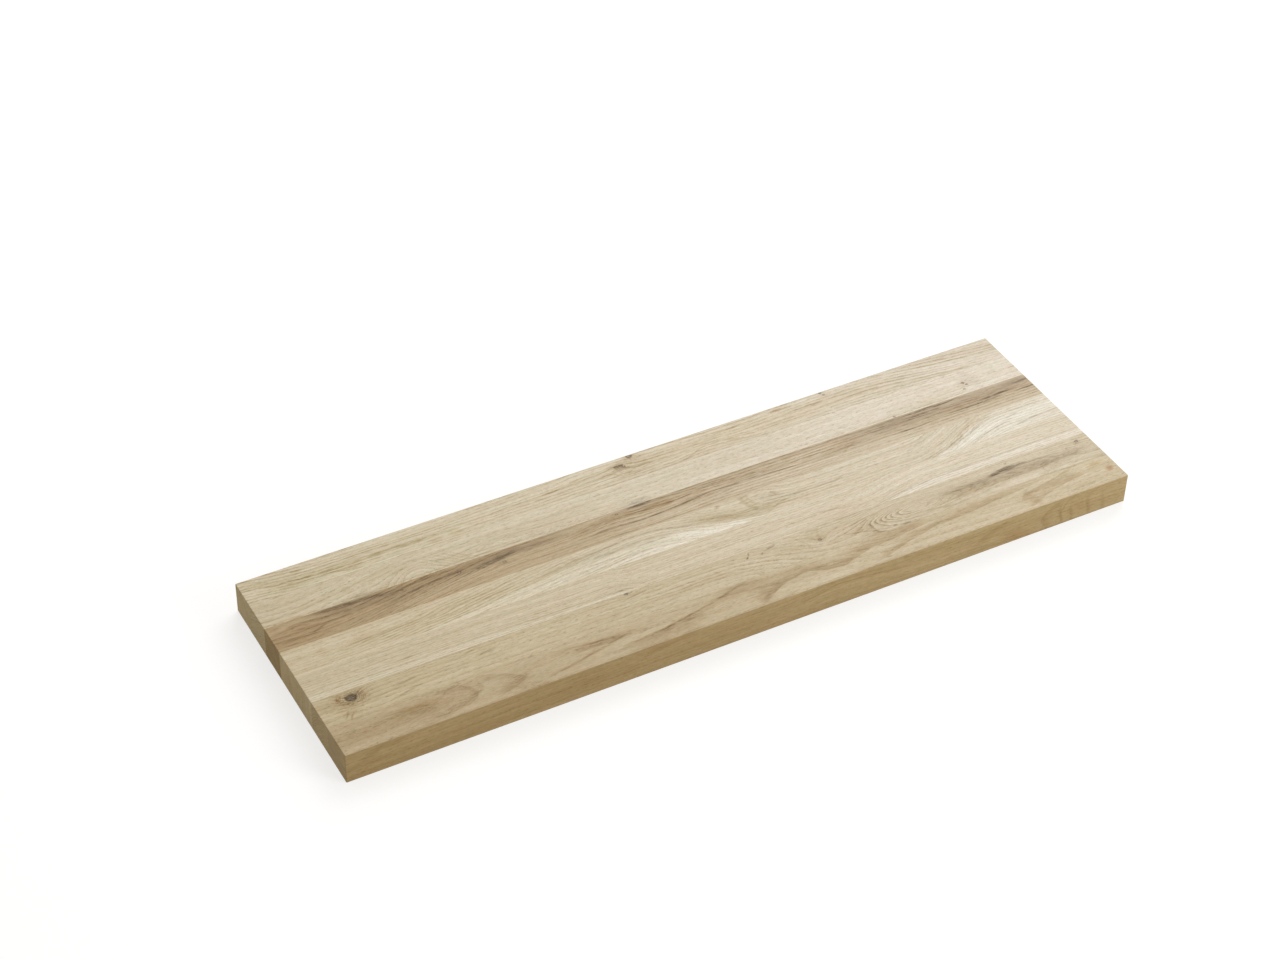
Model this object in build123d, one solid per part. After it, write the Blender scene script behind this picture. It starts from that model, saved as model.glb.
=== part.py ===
"""Stair tread: an edge-glued board of full-length solid oak staves with a square nosing.

The origin is the middle of the underside. +X runs along the staves, +Y from the
nosing to the back edge and +Z up to the walking face. Sizes are in millimetres.
"""

import os

from build123d import *

# Driving dimensions
TREAD_LENGTH = 1000.0
TREAD_THICKNESS = 40.0
ARRIS_RADIUS = 1.0  # every outer edge of the board is sanded round by this much

# Width of each stave, from the back edge to the nosing. They add up to the tread's depth.
STAVE_WIDTHS = {
    "stave_1_back": 41.5,
    "stave_2": 42.0,
    "stave_3": 42.0,
    "stave_4": 43.5,
    "stave_5": 42.5,
    "stave_6": 43.5,
    "stave_7_nosing": 45.0,
}
TREAD_DEPTH = sum(STAVE_WIDTHS.values())


def board():
    """The whole board as it leaves the sander: square on all sides, with eased arrises."""
    blank = Box(
        TREAD_LENGTH,
        TREAD_DEPTH,
        TREAD_THICKNESS,
        align=(Align.CENTER, Align.CENTER, Align.MIN),
    )
    return fillet(blank.edges(), ARRIS_RADIUS)


def staves(tread):
    """The board divided at its glue joints: each stave by name, from the back edge to the nosing.

    Neighbours meet face to face, and only the arrises on the board's outside are round.
    """
    back = TREAD_DEPTH / 2
    for name, width in STAVE_WIDTHS.items():
        strip = Pos(0, back, 0) * Box(
            TREAD_LENGTH,
            width,
            TREAD_THICKNESS,
            align=(Align.CENTER, Align.MAX, Align.MIN),
        )
        yield name, tread & strip
        back -= width


def main():
    os.makedirs("parts", exist_ok=True)
    for name, stave in staves(board()):
        stave.label = name
        export_step(stave, f"parts/{name}.step")


main()
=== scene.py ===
"""The looks of the oak stair tread: seven sanded staves of solid wood under soft studio light.

Each stave is a piece of its own, cut from its own tree. Its wood is a solid pattern: growth rings
about a pith, lifted and sunk where the grain wanders, with fibres, pores and rays that follow them.
So the walking face, the edges, the ends and the underside of a stave all show the same wood.

Places in the wood are board coordinates in millimetres: along from the left end, across from the
back edge and depth below the walking face.
"""

import math
from dataclasses import dataclass
from typing import NamedTuple

import bpy
import numpy as np
from mathutils import Matrix, Vector


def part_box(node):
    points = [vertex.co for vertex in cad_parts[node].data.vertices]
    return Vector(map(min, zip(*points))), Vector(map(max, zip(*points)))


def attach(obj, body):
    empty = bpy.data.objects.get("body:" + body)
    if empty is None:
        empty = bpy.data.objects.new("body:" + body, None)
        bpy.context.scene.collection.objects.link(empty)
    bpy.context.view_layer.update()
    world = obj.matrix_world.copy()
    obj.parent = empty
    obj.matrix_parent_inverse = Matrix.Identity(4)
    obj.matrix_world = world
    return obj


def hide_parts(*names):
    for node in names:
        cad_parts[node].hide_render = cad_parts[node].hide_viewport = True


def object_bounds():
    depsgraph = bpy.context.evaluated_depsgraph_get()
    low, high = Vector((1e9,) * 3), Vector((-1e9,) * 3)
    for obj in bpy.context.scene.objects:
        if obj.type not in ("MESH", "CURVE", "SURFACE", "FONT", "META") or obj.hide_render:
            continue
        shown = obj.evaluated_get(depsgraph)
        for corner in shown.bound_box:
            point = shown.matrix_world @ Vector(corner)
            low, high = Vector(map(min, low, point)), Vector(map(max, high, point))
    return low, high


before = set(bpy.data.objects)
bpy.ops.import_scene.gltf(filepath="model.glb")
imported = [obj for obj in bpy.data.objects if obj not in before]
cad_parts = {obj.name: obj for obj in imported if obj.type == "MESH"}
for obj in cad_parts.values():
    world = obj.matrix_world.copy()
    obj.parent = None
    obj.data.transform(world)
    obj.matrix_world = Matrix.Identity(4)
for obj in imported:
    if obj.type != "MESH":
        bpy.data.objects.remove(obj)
CAD_LOW, CAD_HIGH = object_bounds()

MM = 0.001
LENGTH = (CAD_HIGH.x - CAD_LOW.x) / MM
ARRIS = 1.0  # radius of the sanded outer edges, mm, as in the solids


class Swell(NamedTuple):
    """A place about which the growth rings rise or show more, by an amount that fades away from it."""

    along: float
    across: float
    half_length: float
    half_width: float
    amount: float


class Ramp(NamedTuple):
    """A stretch over which the growth rings rise for good."""

    start: float
    end: float
    rise: float


class Stroke(NamedTuple):
    """A stain along a line of places on the walking face, each given as along and across.

    With a side of 1 only the right-hand side of the line is stained, as seen from outside on the
    way along it, and with -1 only the left-hand side.
    """

    points: tuple
    half_width: float
    stain: tuple
    strength: float
    side: int


class Stain(NamedTuple):
    """The share of red, green and blue that a stain lets through.

    Calling it makes a stroke of it, from a half width, a strength and the places it runs through.
    """

    red: float
    green: float
    blue: float

    def __call__(self, half_width, strength, *points, side=0):
        return Stroke(points, half_width, self, strength, side)


GOLD = Stain(0.92, 0.88, 0.78)
OLIVE = Stain(0.85, 0.83, 0.75)
BROWN = Stain(0.80, 0.75, 0.67)
RED_BROWN = Stain(0.81, 0.70, 0.60)
UMBER = Stain(0.74, 0.71, 0.68)
GREY = Stain(0.81, 0.80, 0.80)
DARK = Stain(0.40, 0.36, 0.31)
PALE = Stain(1.14, 1.19, 1.28)
FIBRE = Stain(0.86, 0.85, 0.81)
ROSE = Stain(1.05, 0.97, 0.98)
HEART = Stain(1.75, 2.0, 3.2)


class Knot(NamedTuple):
    along: float
    across: float
    radius: float
    strength: float


@dataclass
class Stave:
    """What one stave's wood looks like. Lengths and places are in board millimetres."""

    slot: str
    left: tuple  # colour of the plain wood at the left end, linear
    right: tuple  # the same at the right end, paler and whiter partly as the wood and partly as painted sheen
    pith: tuple  # across at the left end and at the right end, and depth, of the tree's middle
    ring: float  # width of a growth ring
    figure: float  # how strongly the rings show
    lifts: tuple = ()  # swells that raise the rings, or sink them
    bolds: tuple = ()  # swells that show the rings more strongly
    ramps: tuple = ()
    strokes: tuple = ()
    front: tuple = ()  # strokes on the front edge, with places given as along and depth
    knots: tuple = ()
    sapwood: float = 0.0  # across where the pale sapwood begins, at the left end
    end: tuple = (0.92, 0.905, 0.835)  # share of light that its end grain leaves


def ripples(first, step, count):
    """A stroke and its copies, each a step further along and across."""
    found = []
    for number in range(count):
        moved = tuple((a + step[0] * number, s + step[1] * number) for a, s in first.points)
        found.append(first._replace(points=moved))
    return found


STAVE_1 = Stave(
    slot="oak_pale",
    left=(0.63, 0.56, 0.415),
    right=(0.64, 0.575, 0.475),
    pith=(-70, -70, 75),
    ring=3.7,
    figure=1.25,
    bolds=(Swell(60, 20, 110, 40, 0.7), Swell(490, 18, 80, 30, 0.9)),
    lifts=(
        Swell(-20, 18, 70, 60, 9),
        Swell(470, 4, 110, 26, 6),
        Swell(475, 14, 16, 8, 3),
        Swell(590, 34, 40, 16, 4),
        Swell(760, 0, 120, 26, 6),
    ),
    ramps=(Ramp(800, 1010, -12),),
    strokes=(
        OLIVE(1.7, 1.5, (0, 15), (42, 24), (85, 26), (118, 28), (152, 26)),
        OLIVE(3.2, 1.6, (150, 26), (169, 25.5), (212, 26)),
        OLIVE(1.5, 1.3, (205, 26), (250, 26.5)),
        OLIVE(1.4, 1.2, (85, 28), (135, 38)),
        OLIVE(7, 0.45, (0, 33), (250, 34)),
        OLIVE(6, 0.6, (30, 31), (75, 33)),
        OLIVE(4, 0.8, (118, 34), (135, 34)),
        RED_BROWN(4, 0.5, (222, 34), (235, 35)),
        GOLD(6, 0.8, (250, 32), (262, 34)),
        *ripples(OLIVE(1.1, 0.8, (0, 4), (40, 12), (90, 18), (140, 16)), (0, 4.2), 3),
        OLIVE(4.2, 0.55, (40, 28), (112, 29)),
        BROWN(1.3, 0.9, (62, 11), (75, 11.5)),
        OLIVE(1.2, 0.9, (140, 13), (200, 15), (250, 13)),
        BROWN(1.4, 1, (373, 20), (395, 20)),
        GOLD(1.3, 0.8, (340, 25), (400, 18), (440, 11)),
        BROWN(5, 0.6, (480, 7), (512, 7)),
        *ripples(BROWN(1.1, 1.8, (465, 28), (500, 28)), (0, 5), 2),
        OLIVE(1.5, 1.9, (600, 12.5), (655, 11.5)),
        BROWN(1.6, 1.9, (685, 7.5), (707, 6.5)),
        OLIVE(1.3, 1.1, (560, 35), (590, 23)),
        OLIVE(1.2, 0.8, (590, 23), (640, 36)),
        OLIVE(2, 0.8, (500, 22), (530, 23)),
        GOLD(16, 0.7, (500, 20), (770, 22)),
        OLIVE(3.5, 0.9, (800, 34), (890, 35)),
        OLIVE(2, 0.8, (890, 38), (950, 38)),
        OLIVE(1.2, 1.2, (870, 10), (920, 17), (960, 22), (1000, 26)),
    ),
    knots=(
        Knot(471, 13.8, 2.6, 1.1),
        Knot(477.5, 13.8, 2.8, 1.1),
        Knot(480.5, 16.8, 1.9, 1.0),
        Knot(494.5, 2.6, 3.4, 1.1),
        Knot(757.5, 2.2, 1.7, 1.0),
        Knot(760, 6.8, 1.6, 0.9),
    ),
)

STAVE_2 = Stave(
    slot="oak_pale",
    left=(0.575, 0.5, 0.355),
    right=(0.69, 0.63, 0.535),
    pith=(130, 130, 110),
    ring=4.0,
    figure=0.4,
    bolds=(Swell(80, 62, 140, 40, 0.6),),
    lifts=(
        Swell(30, 62, 110, 60, 14),
        Swell(186, 76, 24, 17, -12),
        Swell(285, 70, 50, 14, -4),
    ),
    strokes=(
        OLIVE(4.5, 0.5, (50, 70), (100, 64), (140, 57), (170, 52)),
        RED_BROWN(2, 0.6, (0, 81.5), (70, 81.5)),
        UMBER(2.2, 1.1, (100, 81.5), (135, 81.5)),
        BROWN(1.8, 0.9, (160, 80.5), (250, 80.5)),
        OLIVE(2, 2.2, (160, 66), (178, 61)),
        *ripples(OLIVE(0.9, 0.9, (194, 58), (222, 81)), (8, 0.5), 6),
        BROWN(1.2, 0.9, (250, 74), (320, 76)),
        BROWN(1.6, 1.1, (250, 80), (330, 79)),
        *ripples(OLIVE(1.2, 0.8, (305, 62), (400, 66)), (4, 4), 2),
        GREY(1.8, 1.6, (445, 81.5), (480, 81.5)),
        GREY(2.2, 0.9, (455, 77.5), (475, 77.5)),
        OLIVE(5, 0.6, (830, 76), (900, 77)),
        OLIVE(1.4, 0.8, (795, 81.5), (895, 81)),
        GREY(8, 0.45, (932, 45), (938, 75)),
    ),
    knots=(
        Knot(923.5, 64, 2.0, 1.1),
        Knot(926.5, 68.5, 1.6, 1.1),
        Knot(919, 75, 1.6, 1.0),
        Knot(813.5, 82, 1.4, 0.9),
    ),
)

STAVE_3 = Stave(
    slot="oak_brown",
    left=(0.42, 0.315, 0.18),
    right=(0.555, 0.47, 0.35),
    pith=(20, 20, 60),
    end=(0.79, 0.765, 0.515),
    ring=3.7,
    figure=1.5,
    bolds=(Swell(160, 105, 90, 40, 0.5), Swell(490, 100, 90, 40, 0.8)),
    lifts=(
        Swell(40, 84, 60, 14, 9),
        Swell(470, 84, 40, 14, 5),
        Swell(415, 98, 30, 30, 3),
        Swell(540, 104, 40, 20, 3),
    ),
    ramps=(Ramp(50, 310, 26),),
    strokes=(
        RED_BROWN(14, 0.35, (0, 110), (60, 110)),
        UMBER(9, 0.85, (60, 90), (100, 95), (165, 97)),
        DARK(2.6, 0.65, (65, 86), (100, 87.5), (145, 91)),
        DARK(1.6, 0.3, (95, 87), (142, 90)),
        BROWN(1.4, 1.2, (0, 111), (40, 113)),
        UMBER(1.4, 1.6, (45, 112), (60, 107)),
        BROWN(1.4, 1, (0, 120), (60, 122)),
        BROWN(1.3, 1, (20, 100), (75, 104)),
        *ripples(UMBER(0.9, 0.7, (76, 122), (125, 111), (175, 101), (215, 93)), (10, 0.9), 7),
        BROWN(9, 1.1, (150, 91), (260, 90)),
        UMBER(1.6, 1.2, (165, 90), (215, 88)),
        UMBER(1.6, 1.2, (150, 104), (200, 97), (245, 92)),
        *ripples(PALE(1.2, 0.7, (135, 121), (190, 112), (250, 105)), (16, 4.5), 3),
        PALE(8, 0.6, (140, 121), (200, 117), (330, 112)),
        DARK(3.8, 0.95, (250, 100), (293, 93)),
        UMBER(7, 0.8, (250, 90), (350, 91)),
        UMBER(4.5, 0.6, (300, 93), (350, 94)),
        UMBER(1.3, 1.6, (393, 109), (420, 108), (450, 110), (500, 108)),
        DARK(2.2, 1, (452, 86), (473, 86)),
        GREY(4.5, 0.7, (445, 87), (482, 88)),
        RED_BROWN(6, 0.6, (470, 96), (500, 98)),
        *ripples(BROWN(0.9, 1.2, (375, 103), (410, 98), (440, 98), (475, 102), (500, 98)), (0, -3.6), 3),
        *ripples(BROWN(0.9, 0.9, (505, 97), (555, 92.5), (630, 94), (720, 96)), (4, 4.2), 6),
        RED_BROWN(6, 0.5, (715, 98), (750, 99)),
        UMBER(1.1, 1.9, (500, 107), (540, 103), (600, 103), (650, 106)),
        UMBER(1, 1.2, (527, 91.5), (565, 91.5), (615, 97)),
        BROWN(8, 0.2, (440, 88), (510, 90), (760, 90)),
        GREY(2.4, 0.6, (520, 85), (760, 85)),
        PALE(10, 0.75, (400, 119), (520, 117), (760, 115)),
        PALE(7, 0.6, (760, 119), (1000, 119)),
        BROWN(1, 1, (660, 106), (725, 106)),
        UMBER(1.2, 1.6, (725, 104), (750, 104)),
        UMBER(1.1, 2, (802, 111), (838, 110.5)),
        UMBER(10, 0.95, (750, 93), (840, 93), (1000, 95)),
        PALE(16, 0.75, (500, 104), (740, 104)),
        BROWN(16, 0.4, (770, 104), (1000, 104)),
        RED_BROWN(5, 0.4, (885, 99), (1000, 99)),
        DARK(1.8, 0.75, (840, 86.5), (897, 86.5)),
        UMBER(1.3, 2, (830, 92.5), (860, 92)),
        DARK(1.3, 0.9, (890, 106.5), (937, 106.5)),
        DARK(1.5, 1.1, (932, 102), (965, 100.5)),
        DARK(1.5, 0.8, (977, 92), (1002, 91.5)),
        UMBER(5, 0.8, (965, 89), (1002, 89)),
        DARK(1.3, 0.8, (977, 106.5), (1002, 105.5)),
    ),
    knots=(
        Knot(160, 94, 1.6, 0.7),
        Knot(229, 96.5, 2.4, 0.7),
        Knot(282, 103, 2.1, 0.7),
        Knot(432, 89, 1.6, 0.7),
    ),
)

STAVE_4 = Stave(
    slot="oak_pale",
    left=(0.585, 0.5, 0.35),
    right=(0.625, 0.56, 0.445),
    pith=(40, 40, 60),
    ring=3.7,
    figure=0.8,
    bolds=(Swell(600, 140, 38, 18, 0.6),),
    lifts=(
        Swell(335, 150, 125, 80, 18),
        Swell(455, 150, 85, 80, 22),
        Swell(598, 122, 32, 26, 9),
    ),
    ramps=(Ramp(790, 930, 36),),
    strokes=(
        RED_BROWN(6, 0.4, (35, 144), (45, 144)),
        RED_BROWN(8, 0.35, (80, 142), (110, 142)),
        *ripples(OLIVE(0.8, 1.5, (60, 151), (95, 147), (145, 143), (175, 137), (215, 132)), (12, 2.4), 8),
        OLIVE(1.8, 1, (300, 146), (350, 138)),
        UMBER(1.4, 1.1, (350, 138), (400, 134), (425, 132)),
        UMBER(1.5, 1.1, (425, 132), (455, 133), (475, 137), (500, 145)),
        OLIVE(6, 0.6, (300, 152), (345, 144), (400, 142), (470, 144)),
        GREY(5, 0.6, (345, 143), (470, 143)),
        PALE(7.5, 0.4, (330, 161), (480, 161)),
        PALE(15, 0.65, (470, 150), (530, 158), (592, 168), side=1),
        PALE(4.5, 0.5, (390, 168), (470, 168), (560, 168.5)),
        *ripples(GREY(0.9, 0.8, (255, 160), (330, 156)), (45, 2.2), 4),
        GREY(1.1, 1.4, (355, 154), (400, 154)),
        GREY(1.1, 1.3, (375, 145), (395, 145)),
        GREY(1.1, 1.4, (430, 149), (460, 149)),
        GREY(1.1, 1.2, (405, 158), (440, 158)),
        OLIVE(10, 0.9, (500, 137), (550, 150), (590, 168)),
        BROWN(4, 0.7, (515, 144), (565, 158)),
        OLIVE(4, 1.25, (572, 126), (575, 142), (582, 154), (602, 161)),
        OLIVE(2.6, 1.2, (580, 128), (583, 144), (597, 152), (615, 153)),
        GREY(8, 0.35, (590, 138), (625, 143)),
        BROWN(3, 0.9, (607, 138), (617, 142)),
        OLIVE(1.3, 1, (590, 165), (610, 155), (640, 150)),
        UMBER(1.3, 0.9, (610, 148), (655, 151), (690, 151), (700, 148)),
        RED_BROWN(1.2, 0.4, (610, 157), (650, 160)),
        GREY(1.6, 0.8, (790, 146), (830, 133)),
        RED_BROWN(2.2, 1.2, (538, 132), (545, 129)),
        BROWN(3, 0.9, (805, 168), (840, 160), (860, 152), (870, 144), (885, 137), (915, 130)),
        GREY(1.2, 1.1, (855, 158), (905, 140)),
        GREY(1.2, 1, (880, 162), (930, 150)),
        GREY(1.1, 1.4, (935, 145), (950, 142)),
        GREY(1.1, 1.6, (940, 161), (965, 158)),
        GREY(1.2, 0.9, (960, 158), (1000, 157)),
        PALE(13, 0.5, (880, 160), (1000, 146)),
    ),
    sapwood=168.5,
)

STAVE_5 = Stave(
    slot="oak_pale",
    left=(0.58, 0.5, 0.355),
    right=(0.65, 0.58, 0.465),
    pith=(80, 80, 20),
    ring=3.4,
    figure=0.9,
    ramps=(Ramp(150, 330, -2.5), Ramp(365, 400, -8), Ramp(680, 800, 15)),
    strokes=(
        BROWN(1.2, 1.3, (106, 195.5), (128, 195)),
        OLIVE(1.6, 0.8, (0, 202), (110, 203)),
        OLIVE(1.5, 0.9, (235, 203.5), (300, 203.5), (378, 206)),
        UMBER(1.6, 1.2, (364, 205.5), (382, 206)),
        BROWN(5, 0.4, (372, 198), (412, 200)),
        GREY(1.2, 0.6, (600, 186), (680, 198)),
        RED_BROWN(10, 0.22, (640, 200), (692, 198)),
        GREY(1, 0.9, (705, 211), (750, 204), (800, 200.5), (850, 199), (1000, 198.5)),
    ),
    sapwood=204.0,
)

STAVE_6 = Stave(
    slot="oak_tan",
    left=(0.53, 0.445, 0.29),
    right=(0.57, 0.495, 0.37),
    pith=(275, 275, 70),
    ring=3.0,
    figure=0.95,
    bolds=(Swell(700, 234, 46, 15, 1.9), Swell(41, 223, 24, 14, 1.2)),
    lifts=(
        Swell(41, 223, 15, 11, 7),
        Swell(378, 213, 16, 8, 4),
        Swell(618, 233, 14, 9, 4),
        Swell(736, 234, 50, 14, -23),
        Swell(800, 233, 60, 14, -12),
        Swell(890, 231, 80, 15, -9),
    ),
    ramps=(Ramp(490, 640, 15),),
    strokes=(
        BROWN(5, 0.7, (0, 226), (25, 230)),
        RED_BROWN(3, 0.6, (30, 214), (27, 224), (30, 233)),
        BROWN(1.5, 1.6, (29, 231), (39, 234)),
        RED_BROWN(1.6, 1.6, (25, 218), (27, 223)),
        BROWN(1.5, 1.1, (50, 219), (57, 221)),
        GREY(2.2, 1, (46, 217), (51, 221), (49, 228)),
        OLIVE(1.8, 1.5, (31, 228), (36, 231), (43, 230)),
        GOLD(7, 0.8, (18, 240), (38, 246)),
        BROWN(1.8, 0.45, (52, 216), (55, 222), (52, 230)),
        *ripples(BROWN(1.2, 1.5, (24, 250), (28, 243)), (5, 3), 2),
        BROWN(1.3, 1.3, (85, 245), (110, 240)),
        BROWN(1.3, 0.8, (90, 229), (122, 225)),
        BROWN(1.2, 0.6, (170, 220), (200, 213)),
        BROWN(1.6, 1.6, (190, 227), (210, 224)),
        GREY(1.8, 1.5, (203, 227), (208, 227)),
        BROWN(1.2, 1.2, (375, 221), (400, 217)),
        UMBER(1.5, 1.6, (555, 220), (567, 217)),
        OLIVE(1.3, 0.6, (590, 215), (600, 232), (603, 250)),
        BROWN(2, 0.4, (625, 213), (620, 225), (617, 233)),
        OLIVE(8, 0.6, (600, 224), (625, 226)),
        RED_BROWN(6.5, 0.25, (550, 238), (592, 237)),
        BROWN(1.4, 0.9, (650, 240), (700, 252)),
        DARK(1.4, 0.6, (705, 251), (710, 251)),
        DARK(1.4, 0.8, (718, 254), (728, 253.5)),
        BROWN(8.5, 0.75, (768, 234), (860, 235)),
        UMBER(3, 0.8, (790, 231), (850, 230)),
        RED_BROWN(12, 0.18, (640, 232), (690, 233)),
        OLIVE(1.4, 1.2, (750, 246), (790, 251), (850, 247)),
        DARK(2.4, 0.8, (854, 228), (866, 226)),
        DARK(3, 1.1, (862, 226.5), (895, 224.5)),
        DARK(1.2, 0.6, (868, 223), (884, 222)),
        UMBER(1.2, 1.4, (893, 224.5), (915, 226), (945, 227.5)),
        UMBER(7.5, 0.8, (845, 234), (985, 236)),
        BROWN(8, 0.7, (780, 243), (850, 243), (920, 241), (985, 237), side=-1),
        PALE(4.5, 0.6, (850, 250), (985, 249)),
        PALE(5.5, 0.5, (760, 217), (1000, 217)),
        *ripples(DARK(1.2, 0.9, (527, 224.5), (528.5, 222)), (19, 0.5), 2),
        DARK(0.9, 0.6, (530.5, 220), (533, 216)),
    ),
    knots=(
        Knot(41, 223.5, 6.0, 1.35),
        Knot(377.5, 213.5, 2.0, 1.0),
        Knot(617, 233, 2.4, 0.9),
        Knot(825, 231, 1.3, 0.5),
        Knot(882, 216.5, 1.5, 0.7),
        Knot(963, 226, 1.4, 0.6),
        Knot(981.5, 220, 2.4, 0.9),
    ),
)

STAVE_7 = Stave(
    slot="oak_tan",
    left=(0.47, 0.375, 0.235),
    right=(0.55, 0.465, 0.325),
    pith=(274, 330, 75),
    ring=4.5,
    figure=0.5,
    lifts=(
        Swell(20, 274, 150, 20, 16),
        Swell(600, 300, 45, 26, -5),
        Swell(690, 258, 40, 20, 4),
    ),
    strokes=(
        GOLD(12, 0.5, (0, 278), (60, 278)),
        BROWN(11, 0.75, (60, 272), (120, 272)),
        GOLD(6, 1.6, (75, 270), (115, 269)),
        RED_BROWN(13, 0.35, (95, 277), (150, 277)),
        BROWN(7, 0.95, (125, 257), (150, 259), (162, 268), (166, 276), (162, 285), (150, 291), side=1),
        BROWN(5, 0.8, (150, 291), (100, 294), side=1),
        BROWN(8, 0.85, (180, 256), (205, 267), (222, 280), (205, 289), (188, 293), side=1),
        BROWN(1.6, 1.1, (285, 263), (345, 271)),
        BROWN(1.6, 1.2, (250, 291), (285, 284), (310, 279), (345, 271)),
        BROWN(5.5, 0.9, (290, 270), (345, 270)),
        BROWN(1.5, 1.5, (345, 285), (390, 282), (420, 276), (440, 272), (470, 266), (500, 258)),
        BROWN(15, 1.2, (350, 285), (395, 281), (440, 272), side=1),
        BROWN(7, 0.6, (460, 270), (500, 262)),
        BROWN(9, 0.7, (485, 265), (530, 265)),
        BROWN(8.5, 0.8, (512, 292), (526, 279)),
        BROWN(13, 1.05, (510, 297), (530, 285), (545, 278), (565, 274), (578, 274), side=-1),
        BROWN(12, 1.1, (578, 274), (595, 280), (620, 284), (637, 279), (660, 272), side=-1),
        BROWN(11, 1.1, (660, 272), (700, 269), (735, 265), side=-1),
        BROWN(7, 0.3, (650, 262), (750, 262)),
        PALE(7, 0.35, (545, 290), (680, 289)),
        PALE(5, 0.5, (600, 261), (640, 261)),
        BROWN(7, 1.1, (668, 294), (690, 287), (710, 281), (750, 273), side=-1),
        BROWN(11, 0.9, (750, 274), (790, 272), (840, 267), (900, 262), side=-1),
        BROWN(5.5, 0.5, (790, 266), (838, 265)),
        PALE(9, 0.25, (800, 286), (870, 287)),
        BROWN(10, 0.85, (862, 281), (872, 272), (900, 268), (930, 262), (945, 256), side=1),
        BROWN(8, 0.85, (868, 296), (882, 290), (900, 284), (930, 278), (948, 276), side=-1),
        BROWN(5, 0.6, (875, 274), (878, 294)),
        BROWN(1.4, 1, (935, 292), (960, 292)),
        GOLD(3.5, 1.6, (970, 265), (985, 265)),
        RED_BROWN(4, 1.6, (984, 280), (992, 278)),
        BROWN(1, 0.5, (0, 298.5), (1000, 298.5)),
    ),
    front=(
        PALE(13, 0.6, (10, 14), (200, 14)),
        BROWN(4, 0.6, (15, 18), (40, 6), (70, 6)),
        BROWN(9, 0.35, (255, 20), (340, 18)),
        BROWN(6, 0.5, (360, 14), (400, 7), (425, 1), side=-1),
        PALE(6, 0.5, (520, 26), (560, 21), (600, 12), (650, 17), (740, 30)),
        BROWN(1.3, 0.7, (560, 16), (600, 8), (650, 12), (700, 20)),
        PALE(5, 0.4, (680, 3), (690, 12)),
        BROWN(9, 0.65, (785, 24), (812, 8), (835, 2), side=1),
        RED_BROWN(7, 0.7, (828, 28), (858, 34)),
        BROWN(7, 0.75, (886, 38), (879, 26), (880, 18), (888, 10), (905, 3), side=1),
        BROWN(2.2, 0.9, (905, 14), (907, 26), (910, 39)),
        BROWN(1.4, 0.9, (908, 20), (914, 8), (925, 3)),
        BROWN(2.2, 0.9, (921, 20), (923, 40)),
        BROWN(2.4, 0.85, (944, 12), (945, 26), (948, 40)),
        BROWN(3, 0.6, (965, 16), (968, 38)),
        RED_BROWN(9, 0.3, (922, 18), (942, 18)),
    ),
)

STAVES = {
    "stave_1_back": STAVE_1,
    "stave_2": STAVE_2,
    "stave_3": STAVE_3,
    "stave_4": STAVE_4,
    "stave_5": STAVE_5,
    "stave_6": STAVE_6,
    "stave_7_nosing": STAVE_7,
}


def across_of(point):
    """How far a point of the row frame is from the back edge, in millimetres."""
    return (CAD_HIGH.y - point[1]) / MM


# Node formulas

STROKE_DEPTH = 14.0  # how far down a stain reaches, mm
STROKE_REACH = 1.7  # how far out a stain fades to nothing, in half widths
STROKE_EDGE = 0.8  # how soft the sharp side of a one-sided stain is, mm
STROKE_SPAN = 0.62  # half length of a stain's mask, as a share of its run
BROAD = 4.0  # half width from which a stain is smoother, mm
BROAD_WEAR = 0.5  # how far such a stain is torn, as a share of a narrow one's tear


class Field:
    """A number or vector at each point of a surface. Arithmetic on it adds nodes to its material."""

    def __init__(self, graph, socket):
        self.graph = graph
        self.socket = socket

    def __add__(self, other):
        return self.graph.math("ADD", self, other)

    def __sub__(self, other):
        return self.graph.math("SUBTRACT", self, other)

    def __rsub__(self, other):
        return self.graph.math("SUBTRACT", other, self)

    def __mul__(self, other):
        return self.graph.math("MULTIPLY", self, other)

    def __truediv__(self, other):
        return self.graph.math("DIVIDE", self, other)

    def __pow__(self, other):
        return self.graph.math("POWER", self, other)


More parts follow.
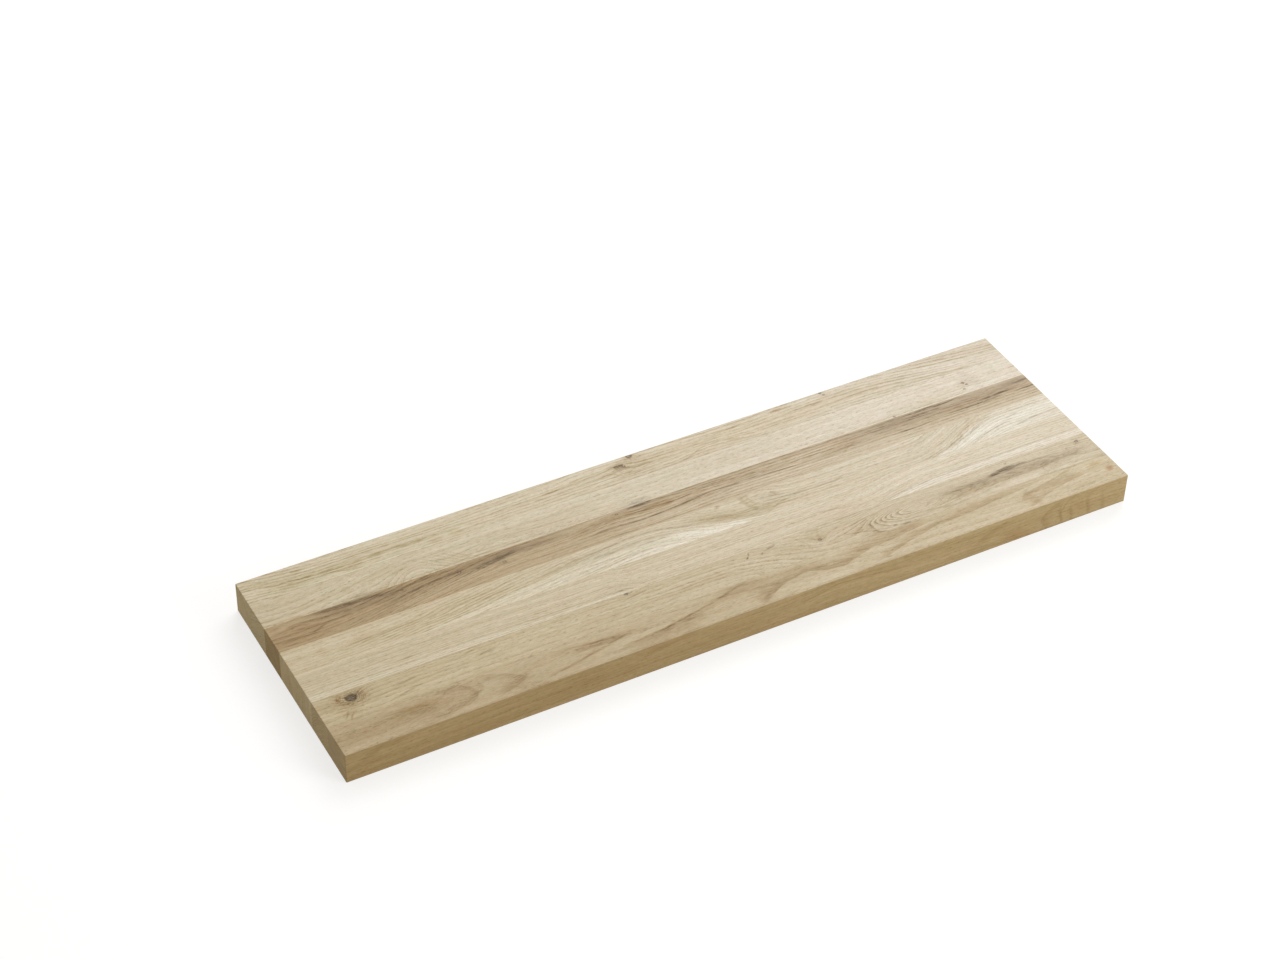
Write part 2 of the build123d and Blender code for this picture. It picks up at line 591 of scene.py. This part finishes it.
class Graph:
    """Adds nodes to one material's tree."""

    def __init__(self, tree):
        self.tree = tree

    def add(self, kind, **settings):
        node = self.tree.nodes.new(kind)
        for name, value in settings.items():
            setattr(node, name, value)
        return node

    def feed(self, socket, value):
        """Links a field to the socket, or sets the socket to a plain value."""
        if isinstance(value, Field):
            self.tree.links.new(value.socket, socket)
        elif socket.type == "VECTOR" and np.isscalar(value):
            socket.default_value = (value,) * 3
        else:
            socket.default_value = value

    def math(self, operation, *values):
        node = self.add("ShaderNodeMath", operation=operation)
        for socket, value in zip(node.inputs, values):
            self.feed(socket, value)
        return Field(self, node.outputs[0])

    def vector(self, operation, *values):
        node = self.add("ShaderNodeVectorMath", operation=operation)
        for socket, value in zip(node.inputs, values):
            self.feed(socket, value)
        output = "Value" if operation in ("DOT_PRODUCT", "LENGTH") else "Vector"
        return Field(self, node.outputs[output])

    def split(self, vector):
        node = self.add("ShaderNodeSeparateXYZ")
        self.feed(node.inputs[0], vector)
        return [Field(self, socket) for socket in node.outputs]

    def join(self, x, y, z):
        node = self.add("ShaderNodeCombineXYZ")
        for socket, value in zip(node.inputs, (x, y, z)):
            self.feed(socket, value)
        return Field(self, node.outputs[0])

    def noise(self, place, grain, shift=(0.0, 0.0, 0.0), detail=2.0, roughness=0.5, vector=False):
        """Smooth noise with features about as large as grain, a size for each coordinate of place."""
        scaled = self.vector("MULTIPLY_ADD", place, [1 / size for size in grain], shift)
        node = self.add("ShaderNodeTexNoise", noise_dimensions="3D")
        self.feed(node.inputs["Vector"], scaled)
        node.inputs["Scale"].default_value = 1.0
        node.inputs["Detail"].default_value = detail
        node.inputs["Roughness"].default_value = roughness
        return Field(self, node.outputs["Color" if vector else "Fac"])

    def ease(self, value, start, end, low=0.0, high=1.0):
        """Goes smoothly from low, where value is at start, to high at end."""
        node = self.add("ShaderNodeMapRange", interpolation_type="SMOOTHSTEP")
        for socket, given in zip(node.inputs, (value, start, end, low, high)):
            self.feed(socket, given)
        return Field(self, node.outputs[0])

    def hill(self, place, centre, size):
        """A bell in space: 1 at the centre, falling to 1/e at size from it."""
        inverse = [1 / s for s in size]
        offset = [-c / s for c, s in zip(centre, size)]
        scaled = self.vector("MULTIPLY_ADD", place, inverse, offset)
        return self.math("POWER", 1 / math.e, self.vector("DOT_PRODUCT", scaled, scaled))

    def stroke(self, place, start, end, half_width, side):
        """A soft mask from one place to another on a face, fading below it."""
        run = np.subtract(end, start)
        middle = np.add(start, end) / 2
        turn = math.atan2(run[1], run[0])
        half_length = max(np.hypot(*run) * STROKE_SPAN, 0.0 if side else half_width)
        node = self.add("ShaderNodeTexGradient", gradient_type="SPHERICAL")
        self.feed(node.inputs["Vector"], place)
        node.texture_mapping.vector_type = "TEXTURE"
        node.texture_mapping.translation = (*middle, 0.0)
        node.texture_mapping.rotation = (0.0, 0.0, turn)
        node.texture_mapping.scale = [s * STROKE_REACH for s in (half_length, half_width, STROKE_DEPTH)]
        mask = self.ease(Field(self, node.outputs["Fac"]), 0.0, 1.0)
        if side:
            out = (-math.sin(turn), math.cos(turn), 0.0)
            line = float(np.dot(middle, out[:2]))
            edge = side * STROKE_EDGE
            mask = mask * self.ease(self.vector("DOT_PRODUCT", place, out), line - edge, line + edge)
        return mask

    def stained(self, density, mask, stain, strength=1.0):
        """Adds a stain to the wood's density, which holds the logarithm of the light let through."""
        layer = [math.log(share) * strength for share in stain]
        return self.vector("MULTIPLY_ADD", self.join(mask, mask, mask), layer, density)


# Growth rings

SWELL_DEPTH = 45.0  # how far down into the wood a swell of the rings reaches, mm


def swollen(graph, swells, place, value):
    """A value raised by each of the swells."""
    for swell in swells:
        size = (swell.half_length, swell.half_width, SWELL_DEPTH)
        bell = graph.hill(place, (swell.along, swell.across, 0.0), size)
        value = graph.math("MULTIPLY_ADD", bell, swell.amount, value)
    return value


def ring_field(graph, stave, place, along, across, depth):
    """Distance from the stave's pith, with the lifts and ramps of its rings."""
    pith = graph.ease(along, 0.0, LENGTH, stave.pith[0], stave.pith[1])
    radius = graph.vector("LENGTH", graph.join(0.0, across - pith, depth - stave.pith[2]))
    radius = swollen(graph, stave.lifts, place, radius)
    for ramp in stave.ramps:
        radius = radius + graph.ease(along, ramp.start, ramp.end, 0.0, ramp.rise)
    return radius


# The oak

MIDDLE = 0.5  # mean of a noise
SWAY_GRAIN = (60, 10, 10)  # size of the grain's wanderings along, across and down, mm
SWAY = (8.0, 3.6, 3.6)  # breadth of the wanderings of the rings, mm
STAIN_SWAY = (6.0, 2.4, 2.4)  # breadth of those of the stains, mm
TEAR_GRAIN = (13, 1.2, 2.5)  # size of the shreds that lines and stains are torn into, mm
TEAR = (0.28, 0.72, 0.15, 1.85)  # noise at the faintest and boldest shreds, and what shows of them


def oak(name, stave, number, low, high):
    """The sanded oak of one stave, which runs across from low to high."""
    material = bpy.data.materials.new(name)
    material.use_nodes = True
    tree = material.node_tree
    tree.nodes.clear()
    graph = Graph(tree)
    seed = (number * 17.3, number * 5.9, number * 11.1)

    coordinates = graph.add("ShaderNodeTexCoord")
    true_place = graph.vector(
        "MULTIPLY_ADD",
        Field(graph, coordinates.outputs["Object"]),
        (1 / MM, -1 / MM, -1 / MM),
        (-CAD_LOW.x / MM, CAD_HIGH.y / MM, CAD_HIGH.z / MM),
    )
    sway = graph.noise(true_place, SWAY_GRAIN, seed, detail=3, vector=True)
    sway = graph.vector("SUBTRACT", sway, MIDDLE)
    place = graph.vector("MULTIPLY_ADD", sway, SWAY, true_place)
    along, across, depth = graph.split(place)

    radius = ring_field(graph, stave, place, along, across, depth)
    grain_place = graph.join(along, radius, across + depth)
    torn = graph.noise(grain_place, TEAR_GRAIN, seed, detail=3, roughness=0.65)
    torn = graph.ease(torn, *TEAR)
    density, line = rings(graph, stave, place, grain_place, radius, torn, seed)
    stroke_place = graph.vector("MULTIPLY_ADD", sway, STAIN_SWAY, true_place)
    density = strokes(graph, stave.strokes, stroke_place, torn, density)
    if stave.front:
        front_along, front_across, front_depth = graph.split(stroke_place)
        front_place = graph.join(front_along, front_depth, high - front_across)
        density = strokes(graph, stave.front, front_place, torn, density)
    if stave.sapwood:
        density = sapwood(graph, stave, radius, grain_place, line, density, seed)
    density = knots(graph, stave, place, true_place, density, seed)
    density = cuts(graph, stave, true_place, coordinates, low, high, density)

    red, green, blue = graph.split(density)
    let_through = graph.join(*(graph.math("EXPONENT", share) for share in (red, green, blue)))
    # The colour goes from the left end's to the right end's; its paling toward the right is partly
    # painted sheen.
    ground = graph.ease(graph.split(true_place)[0], 0.0, LENGTH)
    wood_and_painted_sheen = graph.vector(
        "MULTIPLY_ADD", ground, [r - l for l, r in zip(stave.left, stave.right)], stave.left
    )
    surface(graph, tree, true_place, graph.vector("MULTIPLY", wood_and_painted_sheen, let_through), seed)
    return material


class Layer(NamedTuple):
    """A stain that comes and goes along the grain."""

    grain: tuple  # size of its patches along the grain, out from the pith and round it, mm
    stain: tuple
    strength: float
    detail: int = 2
    roughness: float = 0.5
    apart: bool = True  # whether its noise is shifted away from the ring lines'


LAYERS = (
    Layer((300, 5.5, 30), BROWN, 1.5),  # bands
    Layer((11, 3.5, 3.5), FIBRE, 1.6, roughness=0.6),  # mottling
    Layer((34, 8, 8), ROSE, 1.6),  # tints
    Layer((13, 1.2, 1.2), FIBRE, 3.2, detail=4, roughness=0.68, apart=False),  # fibres
)
DRIFT_GRAIN = (260, 7, 40)  # size of the stretches over which the rings drift and fade, mm
DRIFT = 1.8  # how far they drift, in rings
LINE_RISE = 0.15  # share of a ring in which its dark line grows
LINE_FALL = 2.2  # how fast the line fades after that, as a power
LINE_SHOWN = (0.3, 0.7, 0.25, 1.5)  # drift at the faintest and boldest lines, and what shows of them
PORE_GRAIN = (5, 0.7, 0.7)  # mm
PORE_EDGE = (0.55, 0.68)  # noise at which a pore begins and is full
LATE_PORES = 0.4  # how much of a pore shows between the ring lines
RAY_GRAIN = (8, 9, 0.6)  # mm
RAY_EDGE = (0.58, 0.72)


def rings(graph, stave, place, grain_place, radius, torn, seed):
    """Density of the rings, with the fibres, pores and rays that follow them; and the ring lines."""
    drift = graph.noise(grain_place, DRIFT_GRAIN, seed, detail=2)
    turns = radius / stave.ring + drift * DRIFT
    phase = graph.math("FRACT", turns)
    line = graph.ease(phase, 0.0, LINE_RISE) * ((1 - phase) ** LINE_FALL)
    shown = graph.ease(drift, *LINE_SHOWN)
    bold = swollen(graph, stave.bolds, place, stave.figure)
    density = graph.stained((0, 0, 0), line * shown * torn * bold, BROWN)

    for layer in LAYERS:
        shift = seed[::-1] if layer.apart else seed
        patches = graph.noise(grain_place, layer.grain, shift, layer.detail, layer.roughness)
        density = graph.stained(density, patches - MIDDLE, layer.stain, layer.strength)
    pores = graph.ease(graph.noise(grain_place, PORE_GRAIN, seed, detail=1), *PORE_EDGE)
    density = graph.stained(density, pores * (line + LATE_PORES), DARK, 0.42)
    rays = graph.ease(graph.noise(grain_place, RAY_GRAIN, seed, detail=0), *RAY_EDGE)
    return graph.stained(density, rays, GOLD, 0.6), line


def strokes(graph, found, place, torn, density):
    """Density of a stave's own stains, torn along the fibres."""
    totals = {}
    for stroke in found:
        for start, end in zip(stroke.points, stroke.points[1:]):
            mask = graph.stroke(place, start, end, stroke.half_width, stroke.side)
            layer = (stroke.stain, stroke.half_width >= BROAD)
            totals[layer] = graph.math("MULTIPLY_ADD", mask, stroke.strength, totals.get(layer, 0.0))
    for (stain, broad), total in totals.items():
        wear = torn * BROAD_WEAR + (1 - BROAD_WEAR) if broad else torn
        density = graph.stained(density, total * wear, stain)
    return density


SAP_GRAIN = (40, 1.6, 8)  # size of the tongues at the sapwood's ragged edge, mm
SAP_RAGGED = 2.0  # how far they reach, mm
SAP_EDGE = (0.5, 1.7)  # start and end of the change from the heartwood, mm


def sapwood(graph, stave, radius, grain_place, line, density, seed):
    """Density of the pale sapwood outside the heartwood, with a ragged edge."""
    edge = math.hypot(stave.sapwood - stave.pith[0], stave.pith[2])
    ragged = graph.noise(grain_place, SAP_GRAIN, seed, detail=2)
    pale = graph.ease(radius + ragged * SAP_RAGGED, edge + SAP_EDGE[0], edge + SAP_EDGE[1])
    density = graph.stained(density, pale, PALE, 0.85)
    return graph.stained(density, pale * line, GREY, 0.35)


HALO = (2.7, 2.0, 5.0)  # size of a knot's stained halo along, across and down, in radii
CORE = (1.2, 0.9, 4.0)  # size of the knot itself, in radii
RIM = (0.25, 0.6)  # height on the core's bell at which the dark rim begins and is full
HEART_EDGE = (0.6, 0.92)  # the same of the paler heart
CRUMB_GRAIN = (3.4, 2.6, 6.0)  # size of the tears in the rim, mm
SPECK_GRAIN = (3.0, 1.8, 4.0)  # size of the patches in the halo, mm
SPECKS = (0.35, 0.65, 0.2, 1.8)  # noise at the faintest and boldest patches, and what shows of them
KNOT_TEAR = 1.2  # how ragged a small knot's rim is, in radii
EYE_TEAR = 0.5  # the same of a large knot
EYE = 4.0  # radius from which a knot is large and has rings of its own round it, mm
EYE_RING = 1.7  # width of such a ring, mm
EYE_SQUASH = 0.8  # how wide such a ring is, as a share of its length


def knots(graph, stave, place, true_place, density, seed):
    """Density of the knots: a dark rim and a paler heart that go down into the wood, in a halo."""
    if not stave.knots:
        return density
    crumbs = graph.noise(true_place, CRUMB_GRAIN, seed, detail=3, roughness=0.6, vector=True)
    crumbs = graph.vector("SUBTRACT", crumbs, MIDDLE)
    specks = graph.noise(true_place, SPECK_GRAIN, seed[::-1], detail=2)
    specks = graph.ease(specks, *SPECKS)
    for knot in stave.knots:
        centre = (knot.along, knot.across, 0)
        halo = graph.hill(place, centre, [knot.radius * share for share in HALO])
        stained = min(1.0, knot.radius / EYE)
        density = graph.stained(density, halo * specks, BROWN, 1.1 * stained * knot.strength)
        tear = knot.radius * (EYE_TEAR if knot.radius > EYE else KNOT_TEAR)
        torn_place = graph.vector("MULTIPLY_ADD", crumbs, (tear, tear, tear), true_place)
        core = graph.hill(torn_place, centre, [knot.radius * share for share in CORE])
        density = graph.stained(density, graph.ease(core, *RIM), DARK, knot.strength)
        density = graph.stained(density, graph.ease(core, *HEART_EDGE), HEART)
        if knot.radius > EYE:
            density = eye(graph, knot, halo, torn_place, density)
    return density


def eye(graph, knot, halo, torn_place, density):
    """Density of the fine rings that close round a large knot."""
    offset = (-EYE_SQUASH * knot.along, -knot.across, 0.0)
    out = graph.vector("MULTIPLY_ADD", torn_place, (EYE_SQUASH, 1.0, 0.0), offset)
    phase = graph.math("PINGPONG", graph.vector("LENGTH", out), EYE_RING / 2)
    line = graph.ease(phase, EYE_RING * 0.2, EYE_RING * 0.5)
    return graph.stained(density, line * halo, BROWN, 1.8)


SIDE_TONE_AND_SHADE = (0.98, 0.885, 0.675)  # the sawn edges are yellower than the sanded faces, partly as their wood and partly as painted warm shade
SIDE_FACING = (0.8, 0.4)  # how far up or down a surface faces where an edge begins and is full
END_FACING = (0.5, 0.9)  # how far along it faces where the end grain begins and is full
JOINT = (0.45, 0.1)  # distance from a glue joint at which its hairline begins and is full, mm


def cuts(graph, stave, true_place, coordinates, low, high, density):
    """Density of the sawn edges and ends, with their painted warm shade, and of the hairline at each glue
    joint.
    """
    facing = graph.split(Field(graph, coordinates.outputs["Normal"]))
    # Every upright face is made yellower and darker: partly the sawn wood, partly painted warm shade.
    side = graph.ease(graph.math("ABSOLUTE", facing[2]), *SIDE_FACING)
    density = graph.stained(density, side, SIDE_TONE_AND_SHADE)
    end = graph.ease(graph.math("ABSOLUTE", facing[0]), *END_FACING)
    density = graph.stained(density, end, stave.end)
    across = graph.split(true_place)[1]
    middle, half = (low + high) / 2, (high - low) / 2
    off = graph.math("ABSOLUTE", across - middle)
    return graph.stained(density, graph.ease(off, half - JOINT[0], half - JOINT[1]), BROWN, 0.35)


RELIEF_GRAIN = (26, 0.45, 0.45)  # size of the grooves that the pores leave, mm
RELIEF_DEPTH = 0.08  # mm
ROUGHNESS = (0.3, 0.7, 0.72, 0.54)  # relief in hollows and on ridges, and roughness there


def surface(graph, tree, true_place, colour, seed):
    """The shader: bare sanded wood, with the fine relief of its pores."""
    shader = graph.add("ShaderNodeBsdfPrincipled")
    graph.feed(shader.inputs["Base Color"], colour)
    relief = graph.noise(true_place, RELIEF_GRAIN, seed, detail=2, roughness=0.7)
    graph.feed(shader.inputs["Roughness"], graph.ease(relief, *ROUGHNESS))
    shader.inputs["Specular IOR Level"].default_value = 0.3
    bump = graph.add("ShaderNodeBump")
    bump.inputs["Strength"].default_value = 0.35
    bump.inputs["Distance"].default_value = RELIEF_DEPTH * MM
    graph.feed(bump.inputs["Height"], relief)
    tree.links.new(bump.outputs["Normal"], shader.inputs["Normal"])
    output = graph.add("ShaderNodeOutputMaterial")
    tree.links.new(shader.outputs["BSDF"], output.inputs["Surface"])


# Stave meshes

STATION = 5.0  # spacing of the mesh along the stave, mm
ROW = 1.5  # spacing across the faces, mm
FLANK_ROW = 8.0  # spacing down the edges and ends, mm
HOLD = 0.4  # strip beside a rounded arris that keeps the flat face's shading flat, mm
ARRIS_TURNS = (0.0, 15.0, 30.0, 45.0)  # mesh lines on half of an arris, degrees
STRIPS = 3  # lengths that a long face is cut into on the texture map
MAP_GAP = 0.006  # between strips, as a share of the map
TOP, UNDERSIDE, EDGE, GLUED, END = 1.0, 0.5, 0.8, 0.08, 0.9  # how much of the map a face gets
SHARP = 40.0  # least angle that is shaded as sharp, degrees
DIGITS = 7  # decimals of a metre that tell mesh places apart
TOUCH = 1e-5  # m, within which a stave's side counts as the board's
NEAR_BY = 1e-6  # m, within which a point counts as on a line or face


def lines(low, high, spacing, round_low, round_high):
    """Mesh lines from low to high, close together on the arrises that are rounded."""
    turn = [ARRIS * MM * (1 - math.tan(math.radians(t))) for t in ARRIS_TURNS]
    turn.append((ARRIS + HOLD) * MM)
    first, last = low, high
    found = [low, high]
    if round_low:
        found += [low + t for t in turn]
        first = low + turn[-1]
    if round_high:
        found += [high - t for t in turn]
        last = high - turn[-1]
    steps = max(1, round((last - first) / (spacing * MM)))
    found += list(np.linspace(first, last, steps + 1))
    return np.unique(np.round(found, DIGITS))


@dataclass
class Face:
    """One side of a stave as a grid of quads, with its place on the texture map."""

    axes: tuple  # the two directions the grid runs in
    fixed: int
    value: float
    outward: int
    weight: float  # how much of the map a millimetre of it gets


def stave_piece(name, stave, material):
    """A mesh that stands for a stave: rounded on the outer arrises, sharp at the glue joints."""
    low, high = (np.array(corner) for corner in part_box(name))
    outer_low = np.isclose(low, CAD_LOW, atol=TOUCH)
    outer_high = np.isclose(high, CAD_HIGH, atol=TOUCH)
    spacing = (STATION, ROW, FLANK_ROW)
    grid = [
        lines(low[k], high[k], spacing[k], outer_low[k], outer_high[k]) for k in range(3)
    ]
    grid[0] = np.unique(np.round(np.append(grid[0], strip_cuts(low[0], high[0])), DIGITS))
    for k in (0, 1):
        grid[k] = with_pit_lines(grid[k], stave, k)
    corners, places = [], []
    for face_corners, face_places in unfolded(grid, low, high, outer_low, outer_high):
        corners.append(face_corners)
        places.append(face_places)
    corners = np.concatenate(corners)
    places = np.concatenate(places)
    points, index = np.unique(np.round(corners.reshape(-1, 3), DIGITS), axis=0, return_inverse=True)
    points = rounded(points, low, high, outer_low, outer_high)
    points = pitted(points, stave, high[2])
    mesh = bpy.data.meshes.new(name)
    mesh.from_pydata(points.tolist(), [], index.reshape(-1, 4).tolist())
    uv = mesh.uv_layers.new(name="OFBake")
    uv.data.foreach_set("uv", places.astype(np.float32).ravel())
    mesh.polygons.foreach_set("use_smooth", np.ones(len(mesh.polygons), bool))
    mesh.set_sharp_from_angle(angle=math.radians(SHARP))
    mesh.materials.append(material)
    mesh.update()
    piece = bpy.data.objects.new(name + "_wood", mesh)
    bpy.context.scene.collection.objects.link(piece)
    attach(piece, "root")
    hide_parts(name)


def strip_cuts(low, high):
    """Places along the stave where its long faces are cut on the texture map."""
    return [low + (high - low) * k / STRIPS for k in range(1, STRIPS)]


def rounded(points, low, high, outer_low, outer_high):
    """Points of a sharp box moved onto the rounded arrises of its outer edges."""
    radius = ARRIS * MM
    core = points.copy()
    for k in range(3):
        floor = low[k] + radius if outer_low[k] else -np.inf
        roof = high[k] - radius if outer_high[k] else np.inf
        core[:, k] = np.clip(points[:, k], floor, roof)
    out = points - core
    far = np.linalg.norm(out, axis=1)
    near_edge = far > 1e-9
    points = points.copy()
    points[near_edge] = core[near_edge] + out[near_edge] * (radius / far[near_edge])[:, None]
    return points


PIT_LINES = (-1.0, -0.6, -0.3, 0.0, 0.3, 0.6, 1.0)  # mesh lines through a knot, in reaches
PIT_SPACING = 0.15  # least distance between mesh lines there, mm
PIT_DEPTH = 0.12  # how deep the wood is sunk at a knot, in knot radii


def pit_place(knot):
    """Middle of a knot and how far it reaches in x and y, in metres."""
    middle = (CAD_LOW.x + knot.along * MM, CAD_HIGH.y - knot.across * MM)
    return middle, (knot.radius * 1.25 * MM, knot.radius * MM)


def with_pit_lines(found, stave, k):
    """Mesh lines in x or y, with more of them where they cross a knot."""
    for knot in stave.knots:
        middle, reach = pit_place(knot)
        for offset in PIT_LINES:
            line = middle[k] + reach[k] * offset
            if found[0] < line < found[-1] and np.abs(found - line).min() > PIT_SPACING * MM:
                found = np.sort(np.append(found, line))
    return found


def pitted(points, stave, roof):
    """Points of the walking face sunk a little at each knot, where the dry heart has shrunk."""
    points = points.copy()
    on_top = np.abs(points[:, 2] - roof) < NEAR_BY
    for knot in stave.knots:
        middle, reach = pit_place(knot)
        far = np.hypot(*((points[:, k] - middle[k]) / reach[k] for k in (0, 1)))
        sink = PIT_DEPTH * knot.radius * MM * np.clip(1 - far ** 2, 0, 1)
        points[on_top, 2] -= sink[on_top]
    return points


def unfolded(grid, low, high, outer_low, outer_high):
    """Each side's quads, as corners in space and their places on the texture map."""
    faces = [
        Face((0, 1), 2, high[2], 1, TOP),
        Face((0, 1), 2, low[2], -1, UNDERSIDE),
        Face((0, 2), 1, high[1], 1, EDGE if outer_high[1] else GLUED),
        Face((0, 2), 1, low[1], -1, EDGE if outer_low[1] else GLUED),
        Face((1, 2), 0, low[0], -1, END),
        Face((1, 2), 0, high[0], 1, END),
    ]
    rows = []
    for face in faces:
        across = high[face.axes[1]] - low[face.axes[1]]
        rows += [across * face.weight] * (STRIPS if face.axes[0] == 0 else 1)
    scale = (1 - MAP_GAP * (len(rows) + 1)) / sum(rows)
    bottom = MAP_GAP
    rows = iter(rows)
    for face in faces:
        cuts = [low[face.axes[0]], high[face.axes[0]]]
        if face.axes[0] == 0:
            cuts = [cuts[0], *strip_cuts(low[0], high[0]), cuts[1]]
        for start, end in zip(cuts, cuts[1:]):
            tall = next(rows) * scale
            yield strip_quads(face, grid, low, high, start, end, bottom, tall)
            bottom += tall + MAP_GAP


def strip_quads(face, grid, low, high, start, end, bottom, tall):
    """The quads of one strip of a face, from start to end, and their places on the map."""
    i, j = face.axes
    u_lines = grid[i][(grid[i] > start - NEAR_BY) & (grid[i] < end + NEAR_BY)]
    v_lines = grid[j]
    u, v = np.meshgrid(u_lines, v_lines, indexing="ij")
    points = np.zeros(u.shape + (3,))
    points[..., i], points[..., j], points[..., face.fixed] = u, v, face.value
    wide = 1 - 2 * MAP_GAP
    places = np.stack(
        [
            MAP_GAP + wide * (u - start) / (end - start),
            bottom + tall * (v - low[j]) / (high[j] - low[j]),
        ],
        -1,
    )
    turn = face.outward * (1 if face.fixed != 1 else -1)

    def quads(values):
        around = [values[:-1, :-1], values[1:, :-1], values[1:, 1:], values[:-1, 1:]]
        if turn < 0:
            around.reverse()
        return np.stack(around, 2).reshape(-1, 4, values.shape[-1])

    return quads(points), quads(places)


# Floor, light and camera

FLOOR_SIZE = 60.0  # m
FLOOR_COLOUR = 0.38
FLOOR_LIFT = 0.68  # light that the floor shows the camera by itself, so that it is white
FAR_LIFT = 0.86  # the same far from the lamps
NEAR, FAR = 1.0, 2.4  # distances from the tread's middle between which the one becomes the other, m
FOOT = 0.003  # how far in under the tread the floor goes, m

FILL_COLOUR = (0.54, 0.52, 0.48)

CAMERA_PLACE = (-1.2322, -2.0537, 2.1094)  # m
CAMERA_AZIMUTH = -29.45  # degrees
CAMERA_ELEVATION = 39.87
CAMERA_ROLL = 1.505
CAMERA_LENS = 78.02  # mm, on the sensor below
CAMERA_SENSOR = 36.0


def seen_directly(graph):
    """1 where the camera sees a surface straight on, in a mirror or through glass."""
    path = graph.add("ShaderNodeLightPath")
    seen = Field(graph, path.outputs["Is Camera Ray"])
    for name in ("Is Glossy Ray", "Is Transmission Ray"):
        seen = graph.math("MAXIMUM", seen, Field(graph, path.outputs[name]))
    return seen


def make_floor():
    """A wide white floor that takes the tread's shadow. It is open under the tread's flat foot."""
    half = FLOOR_SIZE / 2
    mesh = bpy.data.meshes.new("floor")
    left, front = CAD_LOW.x + FOOT, CAD_LOW.y + FOOT
    right, back = CAD_HIGH.x - FOOT, CAD_HIGH.y - FOOT
    corners = [(-half, -half), (half, -half), (half, half), (-half, half)]
    corners += [(left, front), (right, front), (right, back), (left, back)]
    sides = [(k, (k + 1) % 4, (k + 1) % 4 + 4, k + 4) for k in range(4)]
    mesh.from_pydata([(x, y, CAD_LOW.z) for x, y in corners], [], sides)
    floor = bpy.data.objects.new("floor", mesh)
    bpy.context.scene.collection.objects.link(floor)
    material = bpy.data.materials.new("white_floor")
    material.use_nodes = True
    graph = Graph(material.node_tree)
    shader = material.node_tree.nodes["Principled BSDF"]
    shader.inputs["Base Color"].default_value = (FLOOR_COLOUR,) * 3 + (1.0,)
    shader.inputs["Roughness"].default_value = 0.9
    shader.inputs["Specular IOR Level"].default_value = 0.0
    shader.inputs["Emission Color"].default_value = (1.0, 1.0, 1.0, 1.0)
    coordinates = graph.add("ShaderNodeTexCoord")
    far = graph.vector("LENGTH", Field(graph, coordinates.outputs["Object"]))
    lift = graph.ease(far, NEAR, FAR, FLOOR_LIFT, FAR_LIFT)
    graph.feed(shader.inputs["Emission Strength"], seen_directly(graph) * lift)
    mesh.materials.append(material)


def make_world():
    """A white surround to the eye that lights the scene as a soft fill."""
    world = bpy.data.worlds.new("studio")
    bpy.context.scene.world = world
    world.use_nodes = True
    graph = Graph(world.node_tree)
    background = world.node_tree.nodes["Background"]
    fill = graph.add("ShaderNodeMix", data_type="RGBA")
    graph.feed(fill.inputs["Factor"], seen_directly(graph))
    colours = [socket for socket in fill.inputs if socket.type == "RGBA"]
    colours[0].default_value = FILL_COLOUR + (1.0,)
    colours[1].default_value = (1.0, 1.0, 1.0, 1.0)
    mixed = [socket for socket in fill.outputs if socket.type == "RGBA"]
    world.node_tree.links.new(mixed[0], background.inputs["Color"])


KEY = ((1.6, 1.9, 2.4), 3.0, 74.5)  # place in m, size in m and power in W
SIDE = ((1.6, -2.4, 1.3), 1.6, 41.0)


def make_lamp(name, place, size, power):
    """A square soft light, turned to the tread."""
    light = bpy.data.lights.new(name, "AREA")
    light.shape = "SQUARE"
    light.size = size
    light.energy = power
    lamp = bpy.data.objects.new(name, light)
    lamp.location = place
    lamp.rotation_euler = (-Vector(place)).to_track_quat("-Z", "Y").to_euler()
    bpy.context.scene.collection.objects.link(lamp)


def make_camera():
    """The camera, turned and placed as the photograph's."""
    azimuth, elevation, roll = (
        math.radians(angle) for angle in (CAMERA_AZIMUTH, CAMERA_ELEVATION, CAMERA_ROLL)
    )
    forward = Vector((
        -math.sin(azimuth) * math.cos(elevation),
        math.cos(azimuth) * math.cos(elevation),
        -math.sin(elevation),
    ))
    level = forward.cross(Vector((0, 0, 1))).normalized()
    upright = level.cross(forward)
    right = math.cos(roll) * level + math.sin(roll) * upright
    up = math.cos(roll) * upright - math.sin(roll) * level
    turn = Matrix((right, up, -forward)).transposed()
    data = bpy.data.cameras.new("camera")
    data.lens = CAMERA_LENS
    data.sensor_width = CAMERA_SENSOR
    camera = bpy.data.objects.new("camera", data)
    camera.matrix_world = Matrix.Translation(CAMERA_PLACE) @ turn.to_4x4()
    bpy.context.scene.collection.objects.link(camera)
    bpy.context.scene.camera = camera


def make_tread():
    for number, (name, stave) in enumerate(STAVES.items(), 1):
        low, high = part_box(name)
        material = oak("oak_" + name, stave, number, across_of(high), across_of(low))
        stave_piece(name, stave, material)


make_tread()
make_floor()
make_world()
make_lamp("key", *KEY)
make_lamp("side", *SIDE)
make_camera()
bpy.context.scene.view_settings.view_transform = "Standard"
